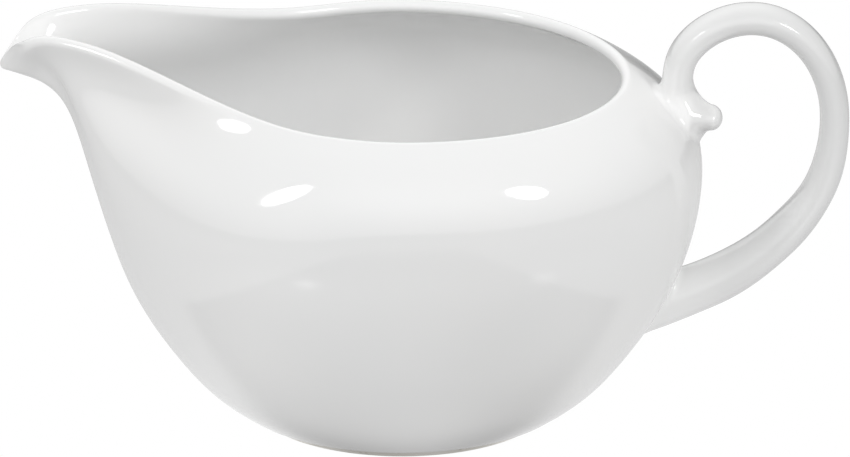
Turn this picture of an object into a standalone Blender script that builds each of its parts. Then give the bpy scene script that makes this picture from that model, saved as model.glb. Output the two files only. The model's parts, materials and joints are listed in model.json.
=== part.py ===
"""Gravy boat: an oval porcelain sauce boat with a pulled pouring spout, a standing ring and one loop handle.

Lengths below are millimetres; objects are built in metres, +Z up.  +X points to the handle, -X to the spout, and the
XZ plane is the plane of symmetry.  Shapes are laid out about the bowl's own axis and then moved by AXIS_X, so that the
world origin is the middle of the whole object's length and width, on the surface it stands on.
"""
import math

import bmesh
import bpy
import numpy as np
from mathutils import Vector

MM = 0.001
AXIS_X = -5.29           # bowl axis, from the middle of the overall length

# ---- bowl ----
BELLY_HALF_LENGTH = 67.3  # half length at the widest level
OVAL = 0.86               # width / length of the oval
BELLY_Z = 57.85           # height of the widest level
LOWER_DEPTH = 68.25       # vertical half axis of the lower body
LOWER_POWER = 1.875       # its superellipse power
WALL = 2.8
FLOOR_Z = 6.4             # inside floor
SEAT_Z = 2.9              # underside of the bowl, where it stands on its ring

# ---- lip line (middle of the rounded lip) ----
LIP_HALF_LENGTH = 50.3
LIP_HALF_WIDTH = 43.45
LIP_Z = 80.45
LIP_R = 1.4
BACK_DIP = 1.15           # the lip is this much lower at the handle
SPOUT_PULL = 37.5         # how far the spout is drawn out
PULL_POWER = 3.13
PINCH = 0.604             # how much the lip narrows into the spout
PINCH_DEG = (84.2, 164.7)
SPOUT_RISE = 11.1         # lobes beside the spout
RISE_DEG = (102.6, 148.8)
TIP_DROP = 9.2            # the pouring edge hooks down
DROP_DEG = (154.5, 180.0)

# ---- wall direction at the lip, from the outward horizontal ----
LEAN_SHOULDER = 154.0     # the shoulder turns inwards
LEAN_FLANK = 83.0         # the spout's flanks stand up
LEAN_TIP = 12.4           # the pouring edge runs outwards
LEAN_DEG = (95.0, 145.0, 150.0, 180.0)

# ---- upper wall: reach of its tangents, at the shoulder and at the spout ----
BELLY_REACH = (12.5, 36.4)
LIP_REACH = (9.9, 15.3)
SPOUT_START = 17.9        # the spout leaves the body this far under the widest level
SPOUT_DEG = (107.3, 165.0)

# ---- standing ring ----
RING_BOTTOM = (29.6, 33.2)  # inner and outer half length on the table
RING_TOP = (28.8, 36.6)
RING_H = 2.6

GAP = 0.3

# ---- handle: (x from the bowl axis, z, path direction deg, reach in, reach out,
#               section tilt deg, half thickness, half width) ----
HANDLE = (
    (62.6, 75.6, 100.0, 0.0, 1.9, -50.0, 6.0, 5.6),
    (61.3, 81.2, 88.0, 1.9, 5.6, -2.0, 3.40, 5.15),
    (77.6, 93.9, 0.0, 8.8, 10.6, -90.0, 3.30, 5.1),
    (96.5, 69.5, -90.0, 13.4, 11.0, -180.0, 3.25, 5.1),
    (84.9, 41.7, -131.0, 9.0, 9.0, -221.0, 4.75, 6.2),
    (61.4, 27.0, -158.0, 8.5, 0.0, -297.0, 8.8, 6.9),
)
SPUR = ((64.0, 77.3, 3.8), (69.5, 71.4, 2.1))   # finger spur: start and end centres with their radii

# ---- slip joints: (x, z of the middle of the foot print, tilt deg of its long axis, half length, half width) ----
UPPER_FOOT = (62.3, 72.4, -50.2, 7.8, 7.2)
LOWER_FOOT = (59.0, 26.4, 63.3, 10.2, 8.6)

AROUND = 64


def step(t):
    t = np.clip(t, 0.0, 1.0)
    return t * t * (3.0 - 2.0 * t)


def ramp(deg, span):
    return step((deg - span[0]) / (span[1] - span[0]))


def lip_line(phi):
    """Middle line of the lip; phi = 0 at the handle, pi at the spout."""
    deg, c = np.degrees(np.abs(phi)), np.cos(phi)
    x = LIP_HALF_LENGTH * c - SPOUT_PULL * ((1.0 - c) / 2.0) ** PULL_POWER
    y = LIP_HALF_WIDTH * np.sin(phi) * (1.0 - PINCH * ramp(deg, PINCH_DEG))
    z = LIP_Z - BACK_DIP * ((1.0 + c) / 2.0) ** 2 + SPOUT_RISE * ramp(deg, RISE_DEG) - TIP_DROP * ramp(deg, DROP_DEG)
    return np.stack([x, y, z], -1)


def unit(v):
    return v / np.linalg.norm(v, axis=-1, keepdims=True)


def lip_frame(phi):
    """Lip line with the wall's upward direction and its outward normal there."""
    h = 1e-4
    mid = lip_line(phi)
    along = unit(lip_line(phi + h) - lip_line(phi - h))
    out = unit(np.stack([along[..., 1], -along[..., 0], 0.0 * along[..., 0]], -1))
    deg = np.degrees(np.abs(phi))
    lean = (LEAN_SHOULDER - (LEAN_SHOULDER - LEAN_FLANK) * ramp(deg, LEAN_DEG[:2])
            - (LEAN_FLANK - LEAN_TIP) * ramp(deg, LEAN_DEG[2:]))
    b = np.radians(lean)[..., None]
    up = np.array([0.0, 0.0, 1.0])
    wall = np.cos(b) * out + np.sin(b) * up
    wall = unit(wall - (wall * along).sum(-1, keepdims=True) * along)
    normal = np.cross(along, wall)
    guess = np.sin(b) * out - np.cos(b) * up
    return mid, wall, normal * np.sign((normal * guess).sum(-1, keepdims=True))


def lower_radius(z):
    q = np.maximum(BELLY_Z - z, 0.0) / LOWER_DEPTH
    return BELLY_HALF_LENGTH * (1.0 - q ** LOWER_POWER) ** (1.0 / LOWER_POWER)


def outer_wall(phi, z0, n_low, n_up):
    """Rows of the outer surface from height z0 up to the lip."""
    mid, wall, normal = lip_frame(phi)
    c, s = np.cos(phi), np.sin(phi)
    w = ramp(np.degrees(np.abs(phi)), SPOUT_DEG)
    start = BELLY_Z - SPOUT_START * w
    n = LOWER_POWER
    rows = []
    for i in range(n_low):
        a0 = np.arcsin(((BELLY_Z - z0) / LOWER_DEPTH) ** (n / 2))
        a1 = np.arcsin(((BELLY_Z - start) / LOWER_DEPTH) ** (n / 2))
        a = a0 + (a1 - a0) * i / n_low
        z = BELLY_Z - LOWER_DEPTH * np.sin(a) ** (2 / n)
        r = lower_radius(z)
        rows.append(np.stack([r * c, OVAL * r * s, z], -1))
    r = lower_radius(start)
    q = (BELLY_Z - start) / LOWER_DEPTH
    slope = BELLY_HALF_LENGTH / LOWER_DEPTH * q ** (n - 1) * (r / BELLY_HALF_LENGTH) ** (1 - n)
    p0 = np.stack([r * c, OVAL * r * s, start], -1)
    rise = unit(np.stack([slope * c, OVAL * slope * s, np.ones_like(c)], -1))
    p3 = mid + LIP_R * normal
    p1 = p0 + (BELLY_REACH[0] + (BELLY_REACH[1] - BELLY_REACH[0]) * w)[..., None] * rise
    p2 = p3 - (LIP_REACH[0] + (LIP_REACH[1] - LIP_REACH[0]) * w)[..., None] * wall
    for i in range(n_up + 1):
        t = i / n_up
        rows.append((1 - t) ** 3 * p0 + 3 * t * (1 - t) ** 2 * p1 + 3 * t * t * (1 - t) * p2 + t ** 3 * p3)
    return np.array(rows), mid, wall, normal


def grid_normals(rows):
    """Outward normals of closed rows of points."""
    around = np.roll(rows, -1, 1) - np.roll(rows, 1, 1)
    up = np.gradient(rows, axis=0)
    return unit(np.cross(around, up))


def material(name, colour, roughness, metallic=0.0, coat=0.0):
    m = bpy.data.materials.new(name)
    m.use_nodes = True
    b = m.node_tree.nodes["Principled BSDF"]
    b.inputs["Base Color"].default_value = (*colour, 1.0)
    b.inputs["Roughness"].default_value = roughness
    b.inputs["Metallic"].default_value = metallic
    b.inputs["Coat Weight"].default_value = coat
    m.diffuse_color = (*colour, 1.0)
    return m


def add_mesh(name, points, faces, mat):
    """A mesh object whose origin is the bowl axis on the table."""
    me = bpy.data.meshes.new(name)
    me.from_pydata([tuple(float(c) * MM for c in p) for p in points], [], faces)
    bm = bmesh.new()
    bm.from_mesh(me)
    bmesh.ops.recalc_face_normals(bm, faces=bm.faces)
    bmesh.ops.triangulate(bm, faces=bm.faces)
    bm.to_mesh(me)
    bm.free()
    me.materials.append(mat)
    ob = bpy.data.objects.new(name, me)
    ob.location = (AXIS_X * MM, 0.0, 0.0)
    bpy.context.scene.collection.objects.link(ob)
    return ob


def rings_solid(rings, loop=False):
    """Points and faces of a stack of closed rings; a ring of one point closes an end."""
    points, index, faces = [], [], []
    for ring in rings:
        index.append(range(len(points), len(points) + len(ring)))
        points.extend(ring)
    pairs = list(zip(index[:-1], index[1:])) + ([(index[-1], index[0])] if loop else [])
    for a, b in pairs:
        n = max(len(a), len(b))
        for j in range(n):
            k = (j + 1) % n
            if len(a) == 1:
                faces.append((a[0], b[j], b[k]))
            elif len(b) == 1:
                faces.append((a[j], b[0], a[k]))
            else:
                faces.append((a[j], b[j], b[k], a[k]))
    return points, faces


def make_bowl(mat):
    phi = np.arange(AROUND) * 2.0 * math.pi / AROUND
    phi = np.where(phi > math.pi, phi - 2.0 * math.pi, phi)
    outer, mid, wall, normal = outer_wall(phi, SEAT_Z, 7, 10)
    rings = [np.array([[0.0, 0.0, SEAT_Z]]), outer[0] * np.array([0.5, 0.5, 1.0])]
    rings += list(outer)
    for k in (1, 2, 3):
        a = math.pi * k / 4
        rings.append(mid + LIP_R * (math.cos(a) * normal + math.sin(a) * wall))
    inner = outer - WALL * grid_normals(outer)
    inner[-1] = mid - LIP_R * normal
    first = int(np.argmax(outer[:, :, 2].mean(1) > 12.0))
    rings += list(inner[first:][::-1])
    last = inner[first]
    for f in (0.82, 0.6, 0.34):
        ring = last * np.array([f, f, 1.0])
        ring[:, 2] = FLOOR_Z + (last[:, 2] - FLOOR_Z) * f ** 3.2
        rings.append(ring)
    rings.append(np.array([[0.0, 0.0, FLOOR_Z]]))
    return add_mesh("bowl", *rings_solid(rings), mat)


def make_ring(mat):
    phi = np.arange(AROUND) * 2.0 * math.pi / AROUND

    def oval(r, z):
        return np.stack([r * np.cos(phi), OVAL * r * np.sin(phi), z + 0.0 * phi], -1)

    corners = ((RING_BOTTOM[0], 0.0), (RING_BOTTOM[1], 0.0), (RING_BOTTOM[1] + 0.9, 0.5), (RING_TOP[1], RING_H),
               (RING_TOP[0], RING_H))
    return add_mesh("foot_ring", *rings_solid([oval(r, z) for r, z in corners], loop=True), mat)


def bowl_profile():
    """Radius against height of the outer surface on the handle's side."""
    rows = outer_wall(np.zeros(1), SEAT_Z, 40, 60)[0][:, 0]
    return rows[:, 2], rows[:, 0]


PROFILE_Z, PROFILE_R = bowl_profile()


def above_bowl(p):
    """How far a point near the handle's side lies outside the bowl, measured level."""
    r = math.hypot(p[0], p[1] / OVAL)
    return r - float(np.interp(p[2], PROFILE_Z, PROFILE_R))


def drop_to_bowl(p, inward, gap):
    """The point from p along inward that keeps the gap to the bowl."""
    lo, hi = -6.0, 14.0
    n = -inward
    lean = abs(n[0])
    for _ in range(50):
        t = (lo + hi) / 2
        if above_bowl(p + t * inward) * lean > gap:
            lo = t
        else:
            hi = t
    return p + lo * inward


def section(x, z, tilt, half_t, half_w, count=20, power=2.3):
    """Superelliptic ring in the plane of its tilted thickness axis and Y."""
    a = math.radians(tilt)
    axis = np.array([math.cos(a), 0.0, math.sin(a)])
    ring = []
    for k in range(count):
        t = 2.0 * math.pi * k / count
        c, s = math.cos(t), math.sin(t)
        u = math.copysign(abs(c) ** (2.0 / power), c) * half_t
        v = math.copysign(abs(s) ** (2.0 / power), s) * half_w
        ring.append(np.array([x, 0.0, z]) + u * axis + np.array([0.0, v, 0.0]))
    return np.array(ring)


def handle_rings(steps=(3, 9, 10, 8, 8)):
    rings = []
    for i, (a, b) in enumerate(zip(HANDLE[:-1], HANDLE[1:])):
        da, db = math.radians(a[2]), math.radians(b[2])
        p = [np.array(a[:2]), np.array(a[:2]) + a[4] * np.array([math.cos(da), math.sin(da)]),
             np.array(b[:2]) - b[3] * np.array([math.cos(db), math.sin(db)]), np.array(b[:2])]
        n = steps[i]
        for k in range(n + (i == len(HANDLE) - 2)):
            t = k / n
            q = (1 - t) ** 3 * p[0] + 3 * t * (1 - t) ** 2 * p[1] + 3 * t * t * (1 - t) * p[2] + t ** 3 * p[3]
            d = 3 * ((1 - t) ** 2 * (p[1] - p[0]) + 2 * t * (1 - t) * (p[2] - p[1]) + t * t * (p[3] - p[2]))
            square = math.degrees(math.atan2(d[1], d[0])) - 90.0
            # the section is square to the path, except where it fans out to meet the bowl
            def off(node):
                return (node[5] - (node[2] - 90.0) + 180.0) % 360.0 - 180.0
            e = float(step(t))
            tilt = square + off(a) * (1 - e) + off(b) * e
            rings.append(section(q[0], q[1], tilt, a[6] + (b[6] - a[6]) * e, a[7] + (b[7] - a[7]) * e))
    return rings


def make_handle(mat):
    rings = handle_rings()
    solid = [rings[0].mean(0)[None]] + rings + [rings[-1].mean(0)[None]]
    strap = add_mesh("handle", *rings_solid(solid), mat)
    (x0, z0, r0), (x1, z1, r1) = SPUR
    d = unit(np.array([x1 - x0, 0.0, z1 - z0]))
    side = np.cross(d, [0.0, 1.0, 0.0])
    count, rings = 16, [np.array([[x0, 0.0, z0]])]
    stations = [(0.0, r0), (0.35, r0 * 0.62 + r1 * 0.38), (0.7, r1 * 1.04), (1.0, r1)]
    span = math.hypot(x1 - x0, z1 - z0)
    for f, r in stations + [(1.0 + r1 * math.sin(a) / span, r1 * math.cos(a)) for a in (0.4, 0.8, 1.2)]:
        centre = np.array([x0, 0.0, z0]) + f * span * d
        rings.append(np.array([centre + r * (math.cos(t) * side + math.sin(t) * np.array([0.0, 1.0, 0.0]))
                               for t in np.arange(count) * 2.0 * math.pi / count]))
    rings.append((np.array([x0, 0.0, z0]) + (span + r1) * d)[None])
    spur = add_mesh("spur_tool", *rings_solid(rings), mat)
    # the spur stops level with the handle's end face, just above the slip joint
    x, z, tilt = HANDLE[0][0], HANDLE[0][1], math.radians(HANDLE[0][5])
    bpy.ops.mesh.primitive_cube_add(size=40.0 * MM)
    plane = bpy.context.active_object
    plane.name = "end_plane_tool"
    plane.rotation_euler = (0.0, -tilt, 0.0)
    up = np.array([-math.sin(tilt), 0.0, math.cos(tilt)])
    plane.location = Vector((x + AXIS_X, 0.0, z)) * MM - Vector(up) * (20.0 - 0.05) * MM
    trim = spur.modifiers.new("trim", "BOOLEAN")
    trim.operation = "DIFFERENCE"
    trim.solver = "EXACT"
    trim.object = plane
    for tool in (spur, plane):
        tool.hide_render = True
        tool.hide_set(True)
        tool.display_type = "WIRE"
    join = strap.modifiers.new("spur", "BOOLEAN")
    join.operation = "UNION"
    join.solver = "EXACT"
    join.object = spur
    return strap


def make_joint(name, end, foot, mat):
    """Slip fillet between one end of the handle and the bowl's wall."""
    x, z, tilt, half_l, half_w = foot
    a = math.radians(tilt)
    axis = np.array([math.cos(a), 0.0, math.sin(a)])
    inward = np.array([-abs(math.sin(a)), 0.0, -math.copysign(1.0, math.sin(-a)) * math.cos(a)])
    centre = np.array([x, 0.0, z]) - 4.0 * inward
    count = len(end)

    def foot_ring(scale, gap):
        ring = []
        for k in range(count):
            t = 2.0 * math.pi * k / count
            ring.append(drop_to_bowl(centre + scale * (half_l * math.cos(t) * axis + half_w * math.sin(t)
                                                       * np.array([0.0, 1.0, 0.0])), inward, gap))
        return np.array(ring)

    top = end + GAP * inward
    low, rim = foot_ring(1.0, GAP), foot_ring(1.0, GAP + 0.45)
    mid_low = foot_ring(0.93, GAP + 0.7)
    rings = [foot_ring(0.0, GAP)[:1], foot_ring(0.35, GAP), foot_ring(0.7, GAP), low, rim,
             0.45 * rim + 0.55 * (0.5 * top + 0.5 * mid_low), 0.12 * rim + 0.88 * top, top, top.mean(0)[None]]
    return add_mesh(name, *rings_solid(rings), mat)


def main():
    for ob in list(bpy.data.objects):
        bpy.data.objects.remove(ob, do_unlink=True)
    glaze = material("white_glaze", (0.86, 0.86, 0.85), 0.08, coat=0.5)
    slip = material("glazed_slip", (0.85, 0.85, 0.84), 0.10, coat=0.5)
    biscuit = material("biscuit", (0.80, 0.78, 0.74), 0.65)
    make_bowl(glaze)
    make_ring(biscuit)
    make_handle(glaze)
    rings = handle_rings()
    make_joint("upper_joint", rings[0], UPPER_FOOT, slip)
    make_joint("lower_joint", rings[-1], LOWER_FOOT, slip)


main()
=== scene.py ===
"""Looks of the gravy boat: fair high-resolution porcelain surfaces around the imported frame, glaze and biscuit materials,
a pale floor and soft studio light.  Shapes are laid out in millimetres about the bowl's axis, as the design is."""
import json
import math

import bpy
import numpy as np
from mathutils import Matrix, Vector

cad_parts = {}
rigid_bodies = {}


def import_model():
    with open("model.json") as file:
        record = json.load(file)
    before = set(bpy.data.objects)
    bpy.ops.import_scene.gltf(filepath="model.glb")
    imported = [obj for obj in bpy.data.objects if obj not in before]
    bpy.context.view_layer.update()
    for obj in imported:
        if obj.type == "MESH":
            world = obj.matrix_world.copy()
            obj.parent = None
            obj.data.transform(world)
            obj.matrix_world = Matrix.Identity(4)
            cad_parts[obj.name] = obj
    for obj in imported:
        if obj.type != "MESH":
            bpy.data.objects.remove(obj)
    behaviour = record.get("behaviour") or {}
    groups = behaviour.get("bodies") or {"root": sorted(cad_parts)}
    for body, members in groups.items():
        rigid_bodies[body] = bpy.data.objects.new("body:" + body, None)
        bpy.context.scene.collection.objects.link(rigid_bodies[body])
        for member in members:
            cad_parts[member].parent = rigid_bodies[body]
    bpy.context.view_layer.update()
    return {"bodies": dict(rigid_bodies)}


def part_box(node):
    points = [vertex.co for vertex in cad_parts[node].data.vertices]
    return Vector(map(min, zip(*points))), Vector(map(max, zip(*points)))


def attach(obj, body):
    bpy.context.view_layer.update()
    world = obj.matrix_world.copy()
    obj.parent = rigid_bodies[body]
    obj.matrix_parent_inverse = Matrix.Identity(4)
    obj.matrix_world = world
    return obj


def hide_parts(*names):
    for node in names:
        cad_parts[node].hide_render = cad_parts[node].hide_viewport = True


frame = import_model()
BODY = sorted(frame["bodies"])[0]
MM = 0.001

# the bowl's axis stands over the middle of its standing ring
RING_LOW, RING_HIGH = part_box("foot_ring")
AXIS_X = (RING_LOW[0] + RING_HIGH[0]) / 2 / MM

# ------------------------------------------------------------------ design dimensions (mm), as in the design
BELLY_HALF_LENGTH, OVAL, BELLY_Z, LOWER_DEPTH, LOWER_POWER = 67.3, 0.86, 57.85, 68.25, 1.875
WALL, FLOOR_Z, SEAT_Z = 2.8, 6.4, 2.9
LIP_HALF_LENGTH, LIP_HALF_WIDTH, LIP_Z, LIP_R, BACK_DIP = 50.3, 43.45, 80.45, 1.4, 1.15
SPOUT_PULL, PULL_POWER, PINCH, PINCH_DEG = 37.9, 3.13, 0.604, (84.2, 164.7)
SPOUT_RISE, RISE_DEG, TIP_DROP, DROP_DEG = 11.1, (102.6, 148.8), 9.2, (154.5, 180.0)
POINT, POINT_X, POINT_DEPTH = 0.80, (1.0, 6.4), 6.5   # the two lips close to a ridge just behind the tip
LEAN_SHOULDER, LEAN_FLANK, LEAN_TIP, LEAN_DEG = 154.0, 62.0, 15.0, (95.0, 145.0, 150.0, 180.0)
BELLY_REACH, LIP_REACH, SPOUT_START, SPOUT_DEG = (12.5, 36.4), (12.5, 17.0), 17.9, (107.3, 165.0)
RING_BOTTOM, RING_TOP, RING_H = (29.6, 33.2), (28.8, 36.6), 2.6
LEAN_BACK, BACK_DEG = 5.0, (20.0, 58.0)               # the shoulder falls a little steeper towards the handle
FLARE, FLARE_DEG = 0.12, (158.0, 172.0)                # the very tip opens a little again
BASE_FULL, BASE_FULL_Z, BASE_FULL_SPAN = 1.0, 8.0, 7.0   # the lower body is a little fuller than its curve


def step(t):
    t = np.clip(t, 0.0, 1.0)
    return t * t * (3.0 - 2.0 * t)


def ramp(deg, span):
    return step((deg - span[0]) / (span[1] - span[0]))


def unit(v):
    return v / np.maximum(np.linalg.norm(v, axis=-1, keepdims=True), 1e-12)


def lip_line(phi):
    deg, c = np.degrees(np.abs(phi)), np.cos(phi)
    x = LIP_HALF_LENGTH * c - SPOUT_PULL * ((1.0 - c) / 2.0) ** PULL_POWER
    y = LIP_HALF_WIDTH * np.sin(phi) * (1.0 - PINCH * ramp(deg, PINCH_DEG) + FLARE * ramp(deg, FLARE_DEG))
    z = LIP_Z - BACK_DIP * ((1.0 + c) / 2.0) ** 2 + SPOUT_RISE * ramp(deg, RISE_DEG) - TIP_DROP * ramp(deg, DROP_DEG)
    return np.stack([x, y, z], -1)


def lip_frame(phi):
    h = 1e-4
    mid = lip_line(phi)
    along = unit(lip_line(phi + h) - lip_line(phi - h))
    out = unit(np.stack([along[..., 1], -along[..., 0], 0.0 * along[..., 0]], -1))
    deg = np.degrees(np.abs(phi))
    lean = (LEAN_SHOULDER - (LEAN_SHOULDER - LEAN_FLANK) * ramp(deg, LEAN_DEG[:2])
            - (LEAN_FLANK - LEAN_TIP) * ramp(deg, LEAN_DEG[2:]) - LEAN_BACK * (1.0 - ramp(deg, BACK_DEG)))
    b = np.radians(lean)[..., None]
    up = np.array([0.0, 0.0, 1.0])
    wall = np.cos(b) * out + np.sin(b) * up
    wall = unit(wall - (wall * along).sum(-1, keepdims=True) * along)
    normal = np.cross(along, wall)
    guess = np.sin(b) * out - np.cos(b) * up
    return mid, wall, normal * np.sign((normal * guess).sum(-1, keepdims=True))


def lower_radius(z):
    q = np.maximum(BELLY_Z - z, 0.0) / LOWER_DEPTH
    return (BELLY_HALF_LENGTH * (1.0 - q ** LOWER_POWER) ** (1.0 / LOWER_POWER)
            + BASE_FULL * np.exp(-((z - BASE_FULL_Z) / BASE_FULL_SPAN) ** 2))


def outer_wall(phi, z0, n_low, n_up):
    mid, wall, normal = lip_frame(phi)
    c, s = np.cos(phi), np.sin(phi)
    w = ramp(np.degrees(np.abs(phi)), SPOUT_DEG)
    start = BELLY_Z - SPOUT_START * w
    n = LOWER_POWER
    rows = []
    for i in range(n_low):
        a0 = np.arcsin(((BELLY_Z - z0) / LOWER_DEPTH) ** (n / 2))
        a1 = np.arcsin(((BELLY_Z - start) / LOWER_DEPTH) ** (n / 2))
        a = a0 + (a1 - a0) * i / n_low
        z = BELLY_Z - LOWER_DEPTH * np.sin(a) ** (2 / n)
        r = lower_radius(z)
        rows.append(np.stack([r * c, OVAL * r * s, z], -1))
    r = lower_radius(start)
    q = (BELLY_Z - start) / LOWER_DEPTH
    slope = BELLY_HALF_LENGTH / LOWER_DEPTH * q ** (n - 1) * (r / BELLY_HALF_LENGTH) ** (1 - n)
    p0 = np.stack([r * c, OVAL * r * s, start], -1)
    rise = unit(np.stack([slope * c, OVAL * slope * s, np.ones_like(c)], -1))
    p3 = mid + LIP_R * normal
    p1 = p0 + (BELLY_REACH[0] + (BELLY_REACH[1] - BELLY_REACH[0]) * w)[..., None] * rise
    p2 = p3 - (LIP_REACH[0] + (LIP_REACH[1] - LIP_REACH[0]) * w)[..., None] * wall
    for i in range(n_up + 1):
        t = i / n_up
        rows.append((1 - t) ** 3 * p0 + 3 * t * (1 - t) ** 2 * p1 + 3 * t * t * (1 - t) * p2 + t ** 3 * p3)
    return np.array(rows)


# ------------------------------------------------------------------ fairing
def resample(rows, count):
    """Every meridian at the same shares of its length."""
    d = np.linalg.norm(np.diff(rows, axis=0), axis=-1)
    s = np.concatenate([np.zeros((1, rows.shape[1])), np.cumsum(d, 0)])
    out = np.empty((count, rows.shape[1], 3))
    for j in range(rows.shape[1]):
        t = np.linspace(0.0, s[-1, j], count)
        for k in range(3):
            out[:, j, k] = np.interp(t, s[:, j], rows[:, j, k])
    return out


def kernel(sigma):
    n = max(1, int(math.ceil(3.0 * sigma)))
    k = np.exp(-0.5 * (np.arange(-n, n + 1) / sigma) ** 2)
    return k / k.sum(), n


def fair_rows(rows, sigma):
    """Smooths along the meridians; the end rows and their directions stay."""
    k, n = kernel(sigma)
    low = 2.0 * rows[:1] - rows[1:n + 1][::-1]
    high = 2.0 * rows[-1:] - rows[-n - 1:-1][::-1]
    full = np.concatenate([low, rows, high])
    return sum(w * full[i:i + len(rows)] for i, w in enumerate(k))


def fair_around(rows, sigma):
    k, n = kernel(sigma)
    return sum(w * np.roll(rows, i - n, axis=1) for i, w in enumerate(k))


def grid_normals(rows):
    around = np.roll(rows, -1, 1) - np.roll(rows, 1, 1)
    up = np.gradient(rows, axis=0)
    return unit(np.cross(around, up))


# ------------------------------------------------------------------ meshes
def to_world(points):
    p = np.asarray(points, float).copy()
    p[:, 0] += AXIS_X
    return p * MM


def new_object(name, points, faces, mats, face_mat=None, normals=None):
    me = bpy.data.meshes.new(name)
    me.from_pydata([tuple(p) for p in to_world(points)], [], [tuple(int(i) for i in f) for f in faces])
    for m in mats:
        me.materials.append(m)
    me.polygons.foreach_set("use_smooth", np.ones(len(me.polygons), bool))
    if face_mat is not None:
        me.polygons.foreach_set("material_index", np.asarray(face_mat, np.int32))
    me.validate()
    me.update()
    if normals is not None:
        me.normals_split_custom_set_from_vertices([tuple(n) for n in normals])
    ob = bpy.data.objects.new(name, me)
    bpy.context.scene.collection.objects.link(ob)
    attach(ob, BODY)
    return ob


def ring_faces(index, closed_rows=False):
    faces = []
    pairs = list(zip(index[:-1], index[1:]))
    if closed_rows:
        pairs.append((index[-1], index[0]))
    for a, b in pairs:
        n = max(len(a), len(b))
        for j in range(n):
            k = (j + 1) % n
            if len(a) == 1:
                faces.append((a[0], b[k], b[j]))
            elif len(b) == 1:
                faces.append((a[j], a[k], b[0]))
            else:
                faces.append((a[j], a[k], b[k], b[j]))
    return faces


def stack(rings):
    points, index = [], []
    for ring in rings:
        index.append(np.arange(len(points), len(points) + len(ring)))
        points.extend(ring)
    return np.array(points), index


AROUND = 336


def bowl_surfaces():
    phi = np.arange(AROUND) * 2.0 * math.pi / AROUND
    phi = np.where(phi > math.pi, phi - 2.0 * math.pi, phi)
    raw = outer_wall(phi, SEAT_Z, 120, 160)
    outer = resample(raw, 120)
    outer = fair_rows(outer, 3.2)
    outer = fair_around(outer, 3.4)
    normal = grid_normals(outer)
    return phi, outer, normal


def drawn_in(points, below, tip_x):
    near = step(1.0 - (points[..., 0] - tip_x - POINT_X[0]) / (POINT_X[1] - POINT_X[0]))
    share = POINT * near * step(1.0 - below / POINT_DEPTH)
    out = points.copy()
    out[..., 1] *= 1.0 - share
    return out


def make_bowl(glaze):
    phi, outer, normal = bowl_surfaces()
    c, s = np.cos(phi), np.sin(phi)
    wall = unit(outer[-1] - outer[-2])
    n_end = normal[-1]
    wall = unit(wall - (wall * n_end).sum(-1, keepdims=True) * n_end)
    mid = outer[-1] - LIP_R * n_end
    lip = [mid + LIP_R * (math.cos(a) * n_end + math.sin(a) * wall) for a in np.linspace(0, math.pi, 15)[1:-1]]
    inner = outer - WALL * normal
    # floor of the bowl: a smooth dish joining the wall
    # near the pouring tip the two lips draw together
    seam = np.linalg.norm(np.diff(outer, axis=0), axis=-1)
    below = np.concatenate([np.cumsum(seam[::-1], 0)[::-1], 0 * seam[:1]])
    tip_x = min(float(r[:, 0].min()) for r in lip)
    outer = drawn_in(outer, below, tip_x)
    inner = drawn_in(inner, below, tip_x)
    lip = [drawn_in(r, 0 * r[:, 0], tip_x) for r in lip]
    first = int(np.argmax(outer[:, :, 2].min(1) > 15.0))
    start = inner[first]
    slope = unit(inner[first] - inner[first + 3])
    reach = np.linalg.norm(start[:, :2], axis=1, keepdims=True)
    m0 = slope * reach * 1.15
    centre = np.array([0.0, 0.0, FLOOR_Z])
    m1 = np.stack([-c, -s * OVAL, 0.0 * c], -1) * reach * 1.0
    dish = []
    for t in np.linspace(0.0, 1.0, 36)[1:-1]:
        h00, h10 = 2 * t ** 3 - 3 * t ** 2 + 1, t ** 3 - 2 * t ** 2 + t
        h01, h11 = -2 * t ** 3 + 3 * t ** 2, t ** 3 - t ** 2
        dish.append(h00 * start + h10 * m0 + h01 * centre + h11 * m1)
    inside = np.array(list(inner[first:][::-1]) + dish)
    # fair the whole inside, the dish against its opposite side
    k, n = kernel(2.6)
    opposite = np.roll(inside, AROUND // 2, axis=1)[-n - 1:-1][::-1]
    full = np.concatenate([2 * inside[:1] - inside[1:n + 1][::-1], inside, centre[None, None] + 0 * inside[:1], opposite])
    fair = sum(w * full[i:i + len(inside)] for i, w in enumerate(k))
    fair[0] = inside[0]
    # underside: over the standing ring and a shallow recess inside it
    def oval(r, z):
        return np.stack([r * c, OVAL * r * s, z + 0.0 * c], -1)
    under = [oval(RING_BOTTOM[0] - 3.2, 4.3), oval(RING_BOTTOM[0] - 1.6, 3.6), oval(RING_BOTTOM[0] - 0.3, 2.9),
             oval(RING_TOP[1] - 1.5, SEAT_Z - 0.1)]
    recess = [oval(r, 4.3 + 0.5 * (1 - (r / 26.0) ** 2)) for r in (4.0, 9.0, 14.0, 19.0, 23.0)]
    rings = [np.array([[0.0, 0.0, 4.8]])] + recess + under + list(outer) + lip + list(fair) + [centre[None]]
    points, index = stack(rings)
    return new_object("bowl_glazed", points, ring_faces(index), [glaze]), outer, normal, phi


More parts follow.
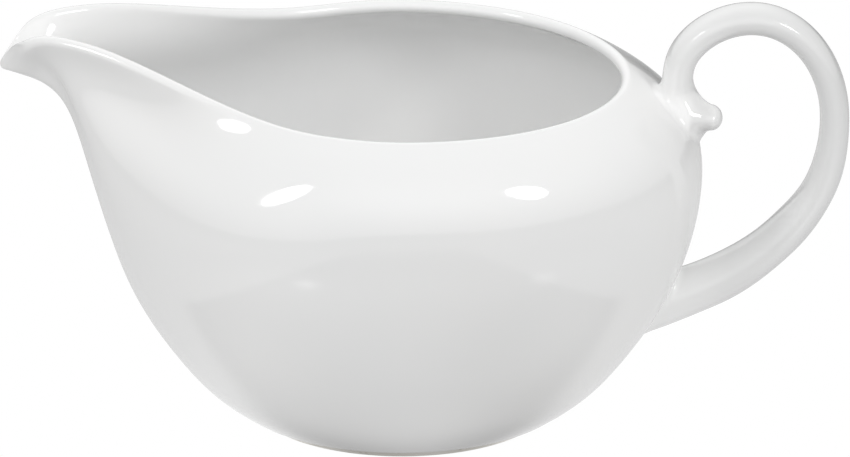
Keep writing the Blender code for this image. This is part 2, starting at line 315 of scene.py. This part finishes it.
def make_foot(mat):
    phi = np.arange(AROUND) * 2.0 * math.pi / AROUND
    section = []
    (bi, bo), (ti, to) = RING_BOTTOM, RING_TOP
    corners = [(bi, 0.0), (bo, 0.0), (to, RING_H), (ti, RING_H + 0.45)]
    # rounded corners of the section
    pts = []
    radii = [0.5, 0.7, 0.2, 0.2]
    for i, (p, rad) in enumerate(zip(corners, radii)):
        p = np.array(p)
        a, b = np.array(corners[i - 1]), np.array(corners[(i + 1) % 4])
        u, v = (a - p) / np.linalg.norm(a - p), (b - p) / np.linalg.norm(b - p)
        for t in np.linspace(0, 1, 7):
            q0, q1 = p + u * rad, p + v * rad
            pts.append((1 - t) ** 2 * q0 + 2 * t * (1 - t) * p + t * t * q1)
    rings = [np.stack([r * np.cos(phi), OVAL * r * np.sin(phi), z + 0.0 * phi], -1) for r, z in pts]
    points, index = stack(rings)
    return new_object("foot_ring_biscuit", points, ring_faces(index, True), [mat])


# ------------------------------------------------------------------ handle: one surface with its spur and both roots
# path nodes: x, z, direction (deg), reach in, reach out, half thickness, half width
STRAP = (
    (60.4, 70.5, 86.0, 0.0, 3.5, 3.7, 6.0),
    (61.4, 81.6, 88.0, 5.0, 5.3, 3.36, 5.25),
    (77.5, 93.8, 0.0, 8.8, 10.6, 3.28, 5.1),
    (96.45, 69.5, -90.0, 13.4, 5.4, 3.25, 5.1),
    (93.75, 54.0, -112.5, 5.2, 5.0, 3.62, 5.5),
    (85.05, 41.55, -134.0, 5.0, 6.4, 4.28, 6.1),
    (69.2, 30.15, -155.5, 6.4, 6.0, 5.0, 6.7),
    (50.0, 23.1, -163.0, 7.0, 0.0, 5.7, 7.6),
)
STRAP_POWER = 2.25
NUB = ((63.6, 70.9, 5.6), (68.7, 70.1, 2.75))   # finger spur: centres and radii of its ends
NUB_WIDE = 1.45                                    # how much wider than thick the spur is
NUB_BLEND, ROOT_BLEND, VALLEY_BLEND, UNDER_BLEND = 4.0, 1.9, 1.0, 3.0
CELL = 0.42


def bezier(p, t):
    return ((1 - t) ** 3 * p[0] + 3 * t * (1 - t) ** 2 * p[1] + 3 * t * t * (1 - t) * p[2] + t ** 3 * p[3])


def strap_path(count=60):
    pts, half = [], []
    for a, b in zip(STRAP[:-1], STRAP[1:]):
        da, db = math.radians(a[2]), math.radians(b[2])
        p = [np.array(a[:2]), np.array(a[:2]) + a[4] * np.array([math.cos(da), math.sin(da)]),
             np.array(b[:2]) - b[3] * np.array([math.cos(db), math.sin(db)]), np.array(b[:2])]
        for t in np.arange(count) / count:
            e = float(step(t))
            pts.append(bezier(p, t))
            half.append([a[5] + (b[5] - a[5]) * e, a[6] + (b[6] - a[6]) * e])
    pts, half = np.array(pts), np.array(half)
    # even spacing, then a light fairing of path and section sizes
    s = np.concatenate([[0.0], np.cumsum(np.linalg.norm(np.diff(pts, axis=0), axis=1))])
    t = np.linspace(0, s[-1], 520)
    table = np.stack([np.interp(t, s, pts[:, 0]), np.interp(t, s, pts[:, 1]),
                      np.interp(t, s, half[:, 0]), np.interp(t, s, half[:, 1])], 1)
    k, n = kernel(7.0)
    low = 2 * table[:1] - table[1:n + 1][::-1]
    high = 2 * table[-1:] - table[-n - 1:-1][::-1]
    full = np.concatenate([low, table, high])
    return sum(w * full[i:i + len(table)] for i, w in enumerate(k))


def root_blend(q):
    """The fillet at the roots is small, and wider in the valley between lip and strap."""
    valley = np.exp(-(((q[:, 0] - 57.6) / 3.4) ** 2 + ((q[:, 2] - 79.6) / 3.4) ** 2 + (q[:, 1] / 5.0) ** 2))
    under = np.exp(-(((q[:, 0] - 67.0) / 2.6) ** 2 + ((q[:, 2] - 66.5) / 3.0) ** 2 + (q[:, 1] / 5.0) ** 2))
    return ROOT_BLEND + VALLEY_BLEND * valley + UNDER_BLEND * under


def smin(a, b, k):
    """Smooth union of two distances and the share of the first in its slope."""
    h = np.clip(0.5 + 0.5 * (b - a) / k, 0.0, 1.0)
    return b * (1 - h) + a * h - k * h * (1 - h), h


class HandleShape:
    def __init__(self, outer, normal, phi):
        from mathutils.bvhtree import BVHTree
        self.table = strap_path()
        tan = np.gradient(self.table[:, :2], axis=0)
        self.tan = tan / np.linalg.norm(tan, axis=1, keepdims=True)
        keep = np.where(np.abs(phi) < math.radians(40))[0]
        keep = keep[np.argsort(phi[keep])]
        rows = np.arange(len(outer))
        self.p = outer[np.ix_(rows, keep)].reshape(-1, 3)
        self.n = normal[np.ix_(rows, keep)].reshape(-1, 3)
        m = len(keep)
        tris = []
        for i in range(len(rows) - 1):
            for j in range(m - 1):
                a, b, c, d = i * m + j, i * m + j + 1, (i + 1) * m + j + 1, (i + 1) * m + j
                tris += [(a, b, c), (a, c, d)]
        self.tris = np.array(tris)
        self.tree = BVHTree.FromPolygons([tuple(v) for v in self.p], tris)

    def bowl(self, q):
        """Signed distance to the faired outer wall and its smooth normal."""
        loc, k = np.empty((len(q), 3)), np.empty(len(q), int)
        for i, v in enumerate(q.tolist()):
            hit = self.tree.find_nearest(v)
            loc[i] = hit[0]
            k[i] = hit[2]
        a, b, c = self.tris[k].T
        pa = self.p[a]
        v0, v1, v2 = self.p[b] - pa, self.p[c] - pa, loc - pa
        d00, d01, d11 = (v0 * v0).sum(1), (v0 * v1).sum(1), (v1 * v1).sum(1)
        d20, d21 = (v2 * v0).sum(1), (v2 * v1).sum(1)
        den = d00 * d11 - d01 * d01
        wb, wc = ((d11 * d20 - d01 * d21) / den)[:, None], ((d00 * d21 - d01 * d20) / den)[:, None]
        n = unit((1 - wb - wc) * self.n[a] + wb * self.n[b] + wc * self.n[c])
        return ((q - loc) * n).sum(1), n

    def strap(self, q):
        """Distance to the strap and its slope."""
        out = np.empty(len(q))
        grad = np.empty((len(q), 3))
        path = self.table[:, :2]
        for lo in range(0, len(q), 20000):
            v = q[lo:lo + 20000]
            xz = v[:, [0, 2]]
            d2 = (xz ** 2).sum(1)[:, None] - 2 * xz @ path.T + (path ** 2).sum(1)
            k = np.argmin(d2, axis=1)
            # between samples
            t = ((xz - path[k]) * self.tan[k]).sum(1)
            h = np.linalg.norm(path[1] - path[0])
            f = np.clip(k + t / h, 0, len(path) - 1.001)
            i = f.astype(int)
            w = (f - i)[:, None]
            row = self.table[i] * (1 - w) + self.table[i + 1] * w
            tan = self.tan[i] * (1 - w) + self.tan[i + 1] * w
            tan /= np.linalg.norm(tan, axis=1, keepdims=True)
            side = np.stack([-tan[:, 1], tan[:, 0]], 1)
            n = ((xz - row[:, :2]) * side).sum(1)
            past = np.where(f <= 0, -t, np.where(k == len(path) - 1, t, -99.0))
            a, b = n / row[:, 2], v[:, 1] / row[:, 3]
            p = STRAP_POWER
            r = np.maximum(np.abs(a) ** p + np.abs(b) ** p, 1e-9) ** (1 / p)
            ga = np.sign(a) * (np.abs(a) / r) ** (p - 1) / row[:, 2]
            gb = np.sign(b) * (np.abs(b) / r) ** (p - 1) / row[:, 3]
            g = np.sqrt(ga ** 2 + gb ** 2)
            out[lo:lo + 20000] = np.maximum((r - 1) / g, past)
            grad[lo:lo + 20000] = np.stack([ga * side[:, 0], gb, ga * side[:, 1]], 1) / g[:, None]
        return out, grad

    def nub(self, q):
        (x0, z0, r0), (x1, z1, r1) = NUB
        a, b = np.array([x0, 0.0, z0]), np.array([x1, 0.0, z1])
        v = q.copy()
        v[:, 1] /= NUB_WIDE
        ab = b - a
        t = np.clip(((v - a) @ ab) / (ab @ ab), 0, 1)
        # the taper is hollowed a little
        c = a + t[:, None] * ab
        r = r0 + (r1 - r0) * (1 - (1 - t) ** 1.3)
        d = v - c
        m = np.maximum(np.linalg.norm(d, axis=1), 1e-6)
        g = d / m[:, None]
        g[:, 1] /= NUB_WIDE
        s = np.linalg.norm(g, axis=1)
        return (m - r) / s, g / s[:, None]

    def whole(self, q):
        a, ga = self.strap(q)
        b, gb = self.nub(q)
        u, h = smin(a, b, NUB_BLEND)
        gu = ga * h[:, None] + gb * (1 - h)[:, None]
        near = (u < 5.6)
        c, gc = np.full(len(q), 9.0), np.zeros((len(q), 3))
        inside = near & (q[:, 0] < 74.0) & (q[:, 2] < 88.0)
        if inside.any():
            c[inside], gc[inside] = self.bowl(q[inside])
        f, h2 = smin(u, c, root_blend(q))
        g = gu * h2[:, None] + gc * (1 - h2)[:, None]
        g /= np.maximum(np.linalg.norm(g, axis=1, keepdims=True), 1e-9)
        return f, g, c


def surface_net(f, origin, cell, ok):
    """Quads over the zero surface of a grid of distances; only where every corner is ok."""
    nx, ny, nz = f.shape
    neg = f < 0
    corner = [(i, j, k) for i in (0, 1) for j in (0, 1) for k in (0, 1)]

    def at(arr, c):
        return arr[c[0]:nx - 1 + c[0], c[1]:ny - 1 + c[1], c[2]:nz - 1 + c[2]]
    count = sum(at(neg, c).astype(np.int8) for c in corner)
    good = (count > 0) & (count < 8)
    for c in corner:
        good &= at(ok, c)
    total = np.zeros(good.shape + (3,))
    hits = np.zeros(good.shape)
    for axis in range(3):
        for u in (0, 1):
            for v in (0, 1):
                c0 = [0, 0, 0]
                o = [d for d in range(3) if d != axis]
                c0[o[0]], c0[o[1]] = u, v
                c1 = list(c0)
                c1[axis] = 1
                a, b = at(f, c0), at(f, c1)
                cross = (a < 0) != (b < 0)
                t = np.where(cross, a / np.where(cross, a - b, 1.0), 0.0)
                p = np.zeros(good.shape + (3,))
                for d in range(3):
                    p[..., d] = c0[d]
                p[..., axis] = t
                total += p * cross[..., None]
                hits += cross
    ids = -np.ones(good.shape, int)
    where = np.argwhere(good)
    ids[good] = np.arange(len(where))
    verts = origin + cell * (where + total[good] / hits[good][:, None])
    quads = []
    for axis in range(3):
        o = [d for d in range(3) if d != axis]
        a = [slice(1, n - 1) for n in (nx, ny, nz)]
        a[axis] = slice(0, (nx, ny, nz)[axis] - 1)
        b = list(a)
        b[axis] = slice(1, (nx, ny, nz)[axis])
        s0, s1 = neg[tuple(a)], neg[tuple(b)]
        for flip, m in ((False, s0 & ~s1), (True, ~s0 & s1)):
            e = np.argwhere(m)
            base = e.copy()
            for d in o:
                base[:, d] += 1
            q = []
            for u, v in ((0, 0), (-1, 0), (-1, -1), (0, -1)):
                w = base.copy()
                w[:, o[0]] += u
                w[:, o[1]] += v
                q.append(ids[w[:, 0], w[:, 1], w[:, 2]])
            q = np.stack(q, 1)
            q = q[(q >= 0).all(1)]
            odd = axis == 1
            quads.append(q[:, ::-1] if (flip != odd) else q)
    return verts, np.concatenate(quads)


def make_handle(mat, outer, normal, phi):
    shape = HandleShape(outer, normal, phi)
    # a whole number of cells each side of the plane of symmetry
    lo = np.array([44.0, -12.6, 8.0])
    hi = np.array([101.5, 12.6, 99.5])
    n = np.ceil((hi - lo) / CELL).astype(int) + 1
    lo[1] = -CELL * (n[1] - 1) / 2
    gx, gy, gz = [lo[d] + CELL * np.arange(n[d]) for d in range(3)]
    q = np.stack(np.meshgrid(gx, gy, gz, indexing="ij"), -1).reshape(-1, 3)
    a, _ = shape.strap(q)
    b, _ = shape.nub(q)
    u, _ = smin(a, b, NUB_BLEND)
    f = u.copy()
    c = np.full(len(q), 9.0)
    # only cells that can see the bowl's wall need its distance
    rho = np.hypot(q[:, 0], q[:, 1] / OVAL)
    wall = np.interp(q[:, 2], [8, 20, 35, 50, 66, 74, 80, 90], [44, 57, 64, 67, 66.5, 62, 56, 50])
    near = (u < 5.6) & (u > -3.0) & (rho < wall + 7.0) & (rho > wall - 5.0) & (q[:, 2] < 90.0)
    c[rho <= wall - 5.0] = -9.0
    c[near], _ = shape.bowl(q[near])
    f = smin(u, c, root_blend(q))[0]
    ok = (u < 5.6) & (c > -1.5)
    verts, quads = surface_net(f.reshape(n), lo, CELL, ok.reshape(n))
    for _ in range(4):
        d, g, c = shape.whole(verts)
        verts = verts - d[:, None] * g
    d, g, c = shape.whole(verts)
    # keep what stands clear of the wall; its hem sinks just under the glaze of the bowl
    lift = c > 0.012
    quads = quads[lift[quads].any(1)]
    used = np.unique(quads)
    hem = used[~lift[used]]
    verts[hem] -= (c[hem] + 0.02)[:, None] * g[hem]
    remap = -np.ones(len(verts), int)
    remap[used] = np.arange(len(used))
    return new_object("handle_glazed", verts[used], remap[quads], [mat], normals=g[used])



# ------------------------------------------------------------------ materials
def noise(nt, where, scale, detail, rough=0.5):
    n = nt.nodes.new("ShaderNodeTexNoise")
    nt.links.new(where, n.inputs["Vector"])
    n.inputs["Scale"].default_value = scale
    n.inputs["Detail"].default_value = detail
    n.inputs["Roughness"].default_value = rough
    return n.outputs[0]


def mapped(nt, value, low, high, to_low, to_high):
    n = nt.nodes.new("ShaderNodeMapRange")
    nt.links.new(value, n.inputs["Value"])
    for name, v in (("From Min", low), ("From Max", high), ("To Min", to_low), ("To Max", to_high)):
        n.inputs[name].default_value = v
    return n.outputs[0]


def tint(nt, share, stops):
    n = nt.nodes.new("ShaderNodeValToRGB")
    nt.links.new(share, n.inputs[0])
    r = n.color_ramp
    for i, (at, colour) in enumerate(stops):
        e = r.elements[i] if i < 2 else r.elements.new(at)
        e.position = at
        e.color = (*colour, 1.0)
    return n.outputs[0]


def blank(name):
    m = bpy.data.materials.new(name)
    m.use_nodes = True
    nt = m.node_tree
    return m, nt, nt.nodes["Principled BSDF"], nt.nodes.new("ShaderNodeTexCoord").outputs["Object"]


def glaze_material(name, shade=1.0):
    """White porcelain under a clear glaze: the glaze pools by a hair, so its colour, gloss and surface drift slowly.
    With shade below 1 the strap gets painted shade: away from its root its colour darkens to that share of the
    body's, standing in for the shade it lies in."""
    m, nt, b, co = blank(name)
    drift = noise(nt, co, 16.0, 2.0)
    warm, cool = (0.878, 0.877, 0.872), (0.862, 0.865, 0.863)
    colour = tint(nt, drift, [(0.32, cool), (0.68, warm)])
    if shade < 1.0:
        # painted shade: a darker copy of the glaze colour for the strap, blended in away from its root; near the
        # root it keeps the body's colour
        painted_shade_tint = tint(nt, drift, [(0.32, [c * shade for c in cool]), (0.68, [c * shade for c in warm])])
        xyz = nt.nodes.new("ShaderNodeSeparateXYZ")
        nt.links.new(co, xyz.inputs[0])
        mix = nt.nodes.new("ShaderNodeMix")
        mix.data_type = "RGBA"
        nt.links.new(mapped(nt, xyz.outputs[0], (AXIS_X + 60.0) * MM, (AXIS_X + 74.0) * MM, 0.0, 1.0), mix.inputs["Factor"])
        nt.links.new(colour, mix.inputs[6])
        nt.links.new(painted_shade_tint, mix.inputs[7])
        colour = mix.outputs[2]
    nt.links.new(colour, b.inputs["Base Color"])
    nt.links.new(mapped(nt, noise(nt, co, 70.0, 3.0), 0.3, 0.7, 0.035, 0.075), b.inputs["Roughness"])
    b.inputs["IOR"].default_value = 1.52
    # slow waves of the glaze, and its finer skin
    waves = noise(nt, co, 42.0, 1.0, 0.4)
    skin = noise(nt, co, 420.0, 2.0, 0.5)
    first = nt.nodes.new("ShaderNodeBump")
    first.inputs["Strength"].default_value = 1.0
    first.inputs["Distance"].default_value = 0.00016
    nt.links.new(waves, first.inputs["Height"])
    second = nt.nodes.new("ShaderNodeBump")
    second.inputs["Strength"].default_value = 1.0
    second.inputs["Distance"].default_value = 0.0000035
    nt.links.new(skin, second.inputs["Height"])
    nt.links.new(first.outputs[0], second.inputs["Normal"])
    nt.links.new(second.outputs[0], b.inputs["Normal"])
    return m


def biscuit_material(name):
    """Unglazed foot: matt, slightly warmer, with the fine grain of the fired body and a few darker specks."""
    m, nt, b, co = blank(name)
    grain = noise(nt, co, 900.0, 4.0, 0.65)
    patch = noise(nt, co, 60.0, 3.0)
    body = tint(nt, patch, [(0.35, (0.70, 0.68, 0.63)), (0.65, (0.79, 0.77, 0.73))])
    specks = nt.nodes.new("ShaderNodeTexVoronoi")
    nt.links.new(co, specks.inputs["Vector"])
    specks.inputs["Scale"].default_value = 420.0
    mask = mapped(nt, specks.outputs["Distance"], 0.10, 0.22, 0.55, 0.0)
    mix = nt.nodes.new("ShaderNodeMix")
    mix.data_type = "RGBA"
    nt.links.new(mask, mix.inputs["Factor"])
    nt.links.new(body, mix.inputs[6])
    mix.inputs[7].default_value = (0.46, 0.40, 0.33, 1.0)
    nt.links.new(mix.outputs[2], b.inputs["Base Color"])
    nt.links.new(mapped(nt, grain, 0.3, 0.7, 0.58, 0.82), b.inputs["Roughness"])
    b.inputs["IOR"].default_value = 1.45
    bump = nt.nodes.new("ShaderNodeBump")
    bump.inputs["Strength"].default_value = 0.6
    bump.inputs["Distance"].default_value = 0.00006
    nt.links.new(grain, bump.inputs["Height"])
    nt.links.new(bump.outputs[0], b.inputs["Normal"])
    return m


def main():
    glaze = glaze_material("white_glaze")
    biscuit = biscuit_material("fired_biscuit")
    bowl, outer, normal, phi = make_bowl(glaze)
    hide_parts("bowl")
    foot = make_foot(biscuit)
    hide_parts("foot_ring")
    # the handle's glaze carries painted shade, darkened to 0.89 of the body's colour away from its roots
    handle = make_handle(glaze_material("white_glaze_handle_painted_shade", 0.89), outer, normal, phi)
    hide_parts("handle", "upper_joint", "lower_joint")
    stage()


# ------------------------------------------------------------------ studio
# soft glow of the tent by direction: azimuth (0 is in front, 90 towards the handle), elevation, strength;
# these strengths and the table's began as a least-squares match to the object's overall shading, then were rounded
# and changed
GLOW = [(0, 8, 0.50), (45, 8, 0.49), (90, 8, 0.37), (135, 8, 0.25), (180, 8, 0.35), (225, 8, 0.59), (270, 8, 0.17),
        (315, 8, 0.45), (0, 38, 0.92), (45, 38, 0.55), (90, 38, 0.24), (135, 38, 0.34), (180, 38, 0.89),
        (225, 38, 0.76), (270, 38, 0.12), (315, 38, 0.66)]
GLOW_WIDTH = 21.0
# light coming back from the table: x, y, radius (mm), strength
TABLE = ((0, -62, 30, 0.55), (53, -44, 30, 0.51), (75, 0, 30, 0.07), (53, 44, 30, 0.05), (0, 62, 30, 0.05),
         (-53, 44, 30, 0.05), (-75, 0, 30, 0.05), (-53, -44, 30, 0.51), (0, -38, 14, 0.15),
         (0, -130, 55, 0.45), (99, -92, 55, 0.45), (99, 92, 55, 0.05), (0, 130, 55, 0.05),
         (-99, 92, 55, 0.05), (-85, -100, 55, 0.80),
         (-286, -160, 150, 0.15),
         (-73, -127, 9, 1.60), (92, -105, 9, 1.10))
TABLE_EDGE, TABLE_EDGE_SOFT = (-98.0, 90.0, -310.0, -26.0), 3.0   # left, right, front and back edges (mm)
BEYOND, BEYOND_FADE = 0.72, 420.0
BOXES = ((-57.0, 38.0, 0.15, 0.40, 13.0), (50.0, 38.0, 0.26, 0.42, 11.0))   # azimuth, elevation, width, height, radiance


def direction(az, el):
    a, e = math.radians(az), math.radians(el)
    return (math.sin(a) * math.cos(e), -math.cos(a) * math.cos(e), math.sin(e))


def math_node(nt, op, a, b=None):
    n = nt.nodes.new("ShaderNodeMath")
    n.operation = op
    for i, v in enumerate((a, b)):
        if v is None:
            continue
        if isinstance(v, (int, float)):
            n.inputs[i].default_value = v
        else:
            nt.links.new(v, n.inputs[i])
    return n.outputs[0]


def total(nt, terms):
    out = terms[0]
    for t in terms[1:]:
        out = math_node(nt, "ADD", out, t)
    return out


def studio_world(glow):
    world = bpy.data.worlds.new("studio")
    bpy.context.scene.world = world
    world.use_nodes = True
    nt = world.node_tree
    nt.nodes.clear()
    co = nt.nodes.new("ShaderNodeTexCoord").outputs["Generated"]
    k = 1.0 / math.radians(GLOW_WIDTH) ** 2
    terms = []
    for az, el, w in glow:
        if w <= 0:
            continue
        dot = nt.nodes.new("ShaderNodeVectorMath")
        dot.operation = "DOT_PRODUCT"
        nt.links.new(co, dot.inputs[0])
        dot.inputs[1].default_value = direction(az, el)
        e = math_node(nt, "EXPONENT", math_node(nt, "MULTIPLY", math_node(nt, "SUBTRACT", dot.outputs["Value"], 1.0), k))
        terms.append(math_node(nt, "MULTIPLY", e, float(w)))
    soft = nt.nodes.new("ShaderNodeBackground")
    soft.inputs[0].default_value = (1, 1, 1, 1)
    if terms:
        nt.links.new(total(nt, terms), soft.inputs[1])
    else:
        soft.inputs[1].default_value = 0.0
    plain = nt.nodes.new("ShaderNodeBackground")
    plain.inputs[0].default_value = (1, 1, 1, 1)
    plain.inputs[1].default_value = 1.0
    mix = nt.nodes.new("ShaderNodeMixShader")
    out = nt.nodes.new("ShaderNodeOutputWorld")
    nt.links.new(nt.nodes.new("ShaderNodeLightPath").outputs["Is Camera Ray"], mix.inputs[0])
    nt.links.new(soft.outputs[0], mix.inputs[1])
    nt.links.new(plain.outputs[0], mix.inputs[2])
    nt.links.new(mix.outputs[0], out.inputs[0])


def studio_floor(table, beyond):
    old = bpy.data.objects.get("floor")
    if old is None:
        me = bpy.data.meshes.new("floor")
        s = 6.0
        me.from_pydata([(-s, -s, 0), (s, -s, 0), (s, s, 0), (-s, s, 0)], [], [(0, 1, 2, 3)])
        old = bpy.data.objects.new("floor", me)
        bpy.context.scene.collection.objects.link(old)
    m = bpy.data.materials.new("floor_pale")
    m.use_nodes = True
    nt = m.node_tree
    nt.nodes.clear()
    xyz = nt.nodes.new("ShaderNodeSeparateXYZ")
    nt.links.new(nt.nodes.new("ShaderNodeNewGeometry").outputs["Position"], xyz.inputs[0])
    terms = []
    for x, y, r, w in table:
        if w <= 0:
            continue
        dx = math_node(nt, "MULTIPLY", math_node(nt, "SUBTRACT", xyz.outputs[0], float(x) * MM), 1 / (r * MM))
        dy = math_node(nt, "MULTIPLY", math_node(nt, "SUBTRACT", xyz.outputs[1], float(y) * MM), 1 / (r * MM))
        d = math_node(nt, "ADD", math_node(nt, "MULTIPLY", dx, dx), math_node(nt, "MULTIPLY", dy, dy))
        e = math_node(nt, "EXPONENT", math_node(nt, "MULTIPLY", d, -1.0))
        terms.append(math_node(nt, "MULTIPLY", e, float(w)))
    if beyond > 0:
        # the patch of table in front of the boat is duller than what lies past its edges
        (x0, x1, y0, y1), soft = TABLE_EDGE, TABLE_EDGE_SOFT
        inside = []
        for out, edge, sign in ((0, x0, 1.0), (0, x1, -1.0), (1, y0, 1.0), (1, y1, -2.5)):
            t = math_node(nt, "SUBTRACT", xyz.outputs[out], edge * MM)
            t = math_node(nt, "MULTIPLY", t, sign / (soft * (4.0 if out else 1.0) * MM))
            g = math_node(nt, "ADD", math_node(nt, "MULTIPLY", math_node(nt, "TANH", t), 0.5), 0.5)
            inside.append(g)
        both = inside[0]
        for g in inside[1:]:
            both = math_node(nt, "MULTIPLY", both, g)
        d = math_node(nt, "ADD", math_node(nt, "MULTIPLY", xyz.outputs[0], xyz.outputs[0]),
                      math_node(nt, "MULTIPLY", xyz.outputs[1], xyz.outputs[1]))
        fade = math_node(nt, "EXPONENT", math_node(nt, "MULTIPLY", d, -1.0 / (BEYOND_FADE * MM) ** 2))
        past = math_node(nt, "MULTIPLY", math_node(nt, "SUBTRACT", 1.0, both), fade)
        terms.append(math_node(nt, "MULTIPLY", past, float(beyond)))
    glow = nt.nodes.new("ShaderNodeEmission")
    if terms:
        nt.links.new(total(nt, terms), glow.inputs[1])
    else:
        glow.inputs[1].default_value = 0.0
    plain = nt.nodes.new("ShaderNodeEmission")
    plain.inputs[1].default_value = 1.0
    mix = nt.nodes.new("ShaderNodeMixShader")
    out = nt.nodes.new("ShaderNodeOutputMaterial")
    nt.links.new(nt.nodes.new("ShaderNodeLightPath").outputs["Is Camera Ray"], mix.inputs[0])
    nt.links.new(glow.outputs[0], mix.inputs[1])
    nt.links.new(plain.outputs[0], mix.inputs[2])
    nt.links.new(mix.outputs[0], out.inputs[0])
    old.data.materials.clear()
    old.data.materials.append(m)


def studio_boxes(boxes):
    for i, (az, el, w, h, radiance) in enumerate(boxes):
        if radiance <= 0:
            continue
        l = bpy.data.lights.new("softbox_%d" % i, "AREA")
        l.shape = "ELLIPSE"
        l.size, l.size_y = w, h
        l.energy = radiance * math.pi * (math.pi * w * h / 4)
        o = bpy.data.objects.new("softbox_%d" % i, l)
        d = Vector(direction(az, el))
        o.location = d * 1.2 + Vector((0, 0, 0.06))
        o.rotation_euler = (-d).to_track_quat("-Z", "Y").to_euler()
        o.visible_camera = False
        bpy.context.scene.collection.objects.link(o)


def stage():
    sc = bpy.context.scene
    sc.view_settings.view_transform = "Standard"
    studio_world(GLOW)
    studio_floor(TABLE, BEYOND)
    studio_boxes(BOXES)
    # camera
    e = math.radians(23.0)
    cam = bpy.data.cameras.new("camera")
    dist = 1.5
    cam.sensor_width = 36.0
    cam.lens = 4460.0 * dist * 36.0 / 850.0
    cam.clip_start, cam.clip_end = 0.05, 20.0
    up = Vector((0, math.sin(e), math.cos(e)))
    aim = Vector((AXIS_X * MM + 0.0052, 0, 0.0455)) - up * (9.45 / 4460.0) - Vector((0.2 / 4460.0, 0, 0))
    back = Vector((0, -math.cos(e), math.sin(e)))
    o = bpy.data.objects.new("camera", cam)
    o.location = aim + back * dist
    o.rotation_euler = (-back).to_track_quat("-Z", "Y").to_euler()
    sc.collection.objects.link(o)
    sc.camera = o


main()
